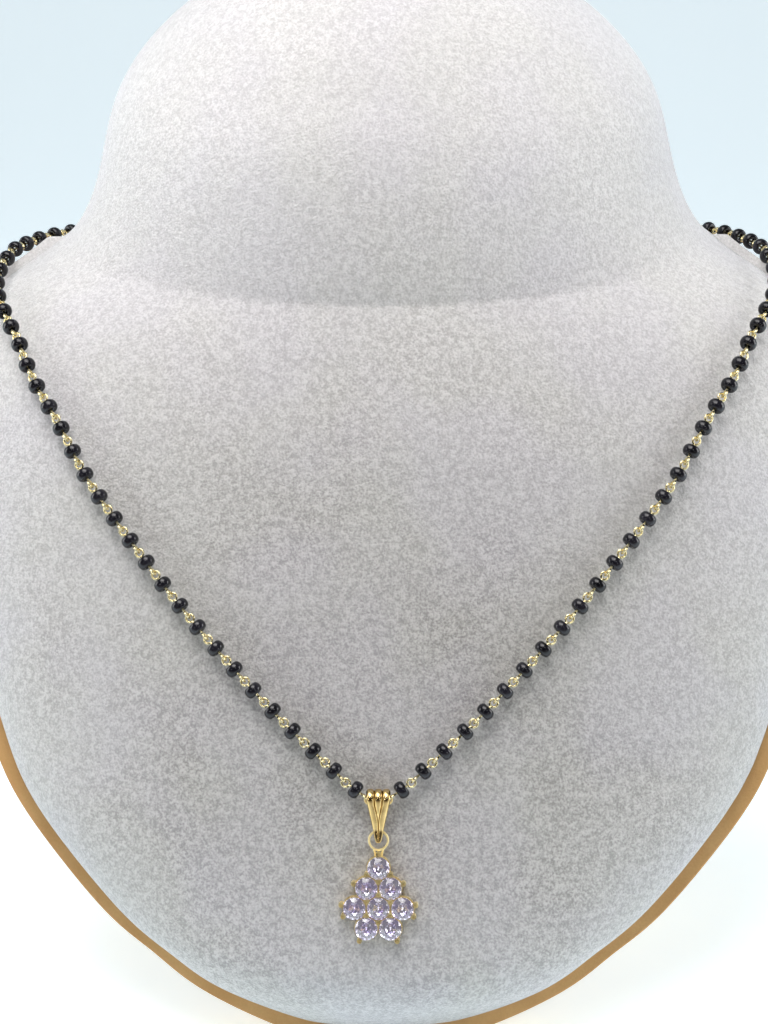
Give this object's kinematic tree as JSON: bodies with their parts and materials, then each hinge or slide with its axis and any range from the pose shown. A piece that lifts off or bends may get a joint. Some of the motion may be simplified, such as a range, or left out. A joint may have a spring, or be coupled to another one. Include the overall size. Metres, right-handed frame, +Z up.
{
  "type": "mangalsutra on a neck bust",
  "caption": "Short chain of black beads with a ribbed gold bail and a hanging triangular pendant of round stones, worn by a white velvet neck bust with a tan board and stand",
  "frame": {"origin": "On the table, under the middle of the whole object's box.", "axes": "+Z up; the front of the bust, with the pendant, faces -Y; +X runs across the shoulders."},
  "size_m": [0.1494, 0.1071, 0.167],
  "materials": {
    "velvet": "short-pile white velvet over a hard form",
    "suede": "tan suede cloth, matt",
    "gold": "polished pale gold",
    "black_bead": "glossy black",
    "crystal": "clear cut stone, polished"
  },
  "bodies": {
    "display": {"neck_bust": "velvet", "bust_backing": "suede", "bust_support": "suede", "chain_links": "gold", "chain_beads": "black_bead", "centre_link": "gold", "clasp": "gold"},
    "bail": {"bail": "gold"},
    "drop": {"pendant_setting": "gold", "stone_1": "crystal", "stone_2": "crystal", "stone_3": "crystal", "stone_4": "crystal", "stone_5": "crystal", "stone_6": "crystal", "stone_7": "crystal", "stone_8": "crystal"}
  },
  "joints": [
    {"name": "bail_swing", "type": "hinge", "parent": "display", "child": "bail", "pos_m": [0, -0.04736, 0.04274], "axis": [-1, 0, 0], "range_deg": [0, 70]},
    {"name": "drop_swing", "type": "hinge", "parent": "bail", "child": "drop", "pos_m": [0, -0.04818, 0.03808], "axis": [-1, 0, 0], "range_deg": [0, 60]}
  ]
}
